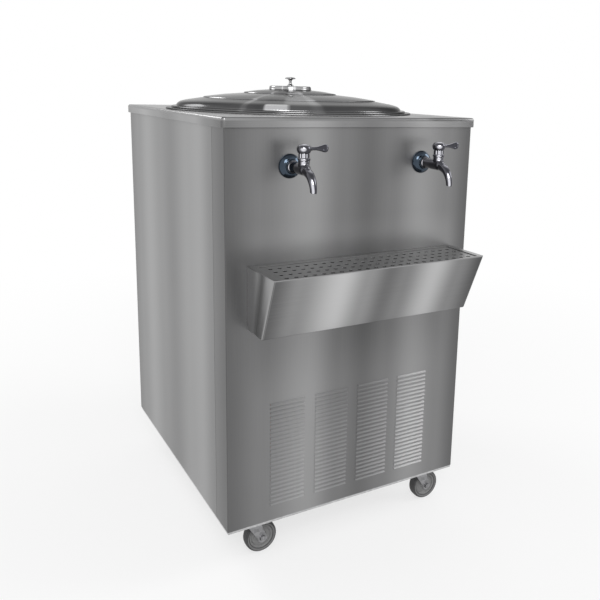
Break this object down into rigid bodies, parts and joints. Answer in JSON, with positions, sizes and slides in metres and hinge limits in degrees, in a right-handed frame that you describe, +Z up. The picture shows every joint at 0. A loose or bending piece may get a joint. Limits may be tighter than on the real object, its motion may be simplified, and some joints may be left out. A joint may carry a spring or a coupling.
{
  "type": "juice dispenser",
  "caption": "Free-standing refrigerated juice dispenser: steel cabinet on castors, round tank with a domed lid, lever taps over a drip tray, pump and cooling unit inside.",
  "frame": {"origin": "on the floor, under the middle of the outline", "axes": "+Z up, the front with the taps faces -Y, +X to the right of someone facing the taps"},
  "size_m": [0.612, 0.8418, 1.0613],
  "materials": {
    "brushed_steel": "satin",
    "polished_steel": "polished",
    "chrome": "polished",
    "zinc": "satin",
    "aluminium": "satin",
    "copper": "satin",
    "foam": "matte",
    "black_paint": "satin",
    "black_plastic": "satin",
    "rubber": "matte"
  },
  "bodies": {
    "cabinet": {"back_panel": "brushed_steel", "base_pan": "zinc", "compressor": "black_paint", "condenser": "aluminium", "discharge_line": "copper", "drain_pipe": "black_plastic", "drip_tray": "brushed_steel", "evaporator_coil": "copper", "fan_motor": "black_paint", "fan_shroud": "zinc", "filter_drier": "copper", "front_left_castor_plate": "zinc", "front_panel": "brushed_steel", "front_right_castor_plate": "zinc", "juice_pump": "black_plastic", "juice_tank": "polished_steel", "left_side_panel": "brushed_steel", "left_tap_backnut": "zinc", "left_tap_body": "chrome", "left_tap_bonnet": "chrome", "left_tap_flange": "chrome", "liquid_line": "copper", "power_inlet": "black_plastic", "pump_inlet_hose": "rubber", "rear_cover": "brushed_steel", "rear_left_castor_plate": "zinc", "rear_right_castor_plate": "zinc", "right_side_panel": "brushed_steel", "right_tap_backnut": "zinc", "right_tap_body": "chrome", "right_tap_bonnet": "chrome", "right_tap_flange": "chrome", "suction_line": "copper", "tank_insulation": "foam", "tank_shelf": "zinc", "tap_feed_pipe": "black_plastic", "thermostat": "black_plastic", "top_plate": "brushed_steel"},
    "lid": {"lid": "polished_steel", "lid_knob": "polished_steel"},
    "drip_plate": {"drip_plate": "brushed_steel"},
    "fan": {"fan_blades": "black_plastic"},
    "control_knob": {"thermostat_knob": "black_plastic"},
    "left_valve": {"left_tap_stem": "chrome", "left_tap_lever": "chrome"},
    "right_valve": {"right_tap_stem": "chrome", "right_tap_lever": "chrome"},
    "front_left_swivel": {"front_left_castor_fork": "zinc", "front_left_castor_axle": "zinc"},
    "front_left_wheel": {"front_left_castor_wheel": "rubber"},
    "front_right_swivel": {"front_right_castor_fork": "zinc", "front_right_castor_axle": "zinc"},
    "front_right_wheel": {"front_right_castor_wheel": "rubber"},
    "rear_left_swivel": {"rear_left_castor_fork": "zinc", "rear_left_castor_axle": "zinc"},
    "rear_left_wheel": {"rear_left_castor_wheel": "rubber"},
    "rear_right_swivel": {"rear_right_castor_fork": "zinc", "rear_right_castor_axle": "zinc"},
    "rear_right_wheel": {"rear_right_castor_wheel": "rubber"}
  },
  "joints": [
    {"name": "lid_lift", "type": "slide", "parent": "cabinet", "child": "lid", "axis": [0, 0, 1], "range_m": [0, 0.25]},
    {"name": "drip_plate_lift", "type": "slide", "parent": "cabinet", "child": "drip_plate", "axis": [0, 0, 1], "range_m": [0, 0.06]},
    {"name": "left_tap_turn", "type": "hinge", "parent": "cabinet", "child": "left_valve", "pos_m": [-0.162, -0.35655, 0.883], "axis": [0, 0, 1], "range_deg": [-90, 0]},
    {"name": "right_tap_turn", "type": "hinge", "parent": "cabinet", "child": "right_valve", "pos_m": [0.162, -0.35655, 0.883], "axis": [0, 0, 1], "range_deg": [-90, 0]},
    {"name": "control_knob_turn", "type": "hinge", "parent": "cabinet", "child": "control_knob", "pos_m": [-0.205, 0.40545, 0.4574], "axis": [0, 1, 0], "range_deg": [-140, 140]},
    {"name": "fan_spin", "type": "hinge", "parent": "cabinet", "child": "fan", "pos_m": [0.02, -0.21625, 0.2473], "axis": [0, 1, 0], "continuous": true},
    {"name": "front_left_swivel_turn", "type": "hinge", "parent": "cabinet", "child": "front_left_swivel", "pos_m": [-0.23, -0.23655, 0.09], "axis": [0, 0, 1], "continuous": true},
    {"name": "front_left_wheel_roll", "type": "hinge", "parent": "front_left_swivel", "child": "front_left_wheel", "pos_m": [-0.202, -0.23655, 0.0375], "axis": [0, 1, 0], "continuous": true},
    {"name": "front_right_swivel_turn", "type": "hinge", "parent": "cabinet", "child": "front_right_swivel", "pos_m": [0.23, -0.23655, 0.09], "axis": [0, 0, 1], "continuous": true},
    {"name": "front_right_wheel_roll", "type": "hinge", "parent": "front_right_swivel", "child": "front_right_wheel", "pos_m": [0.258, -0.23655, 0.0375], "axis": [0, 1, 0], "continuous": true},
    {"name": "rear_left_swivel_turn", "type": "hinge", "parent": "cabinet", "child": "rear_left_swivel", "pos_m": [-0.23, 0.33545, 0.09], "axis": [0, 0, 1], "continuous": true},
    {"name": "rear_left_wheel_roll", "type": "hinge", "parent": "rear_left_swivel", "child": "rear_left_wheel", "pos_m": [-0.202, 0.33545, 0.0375], "axis": [0, 1, 0], "continuous": true},
    {"name": "rear_right_swivel_turn", "type": "hinge", "parent": "cabinet", "child": "rear_right_swivel", "pos_m": [0.23, 0.33545, 0.09], "axis": [0, 0, 1], "continuous": true},
    {"name": "rear_right_wheel_roll", "type": "hinge", "parent": "rear_right_swivel", "child": "rear_right_wheel", "pos_m": [0.258, 0.33545, 0.0375], "axis": [0, 1, 0], "continuous": true}
  ]
}
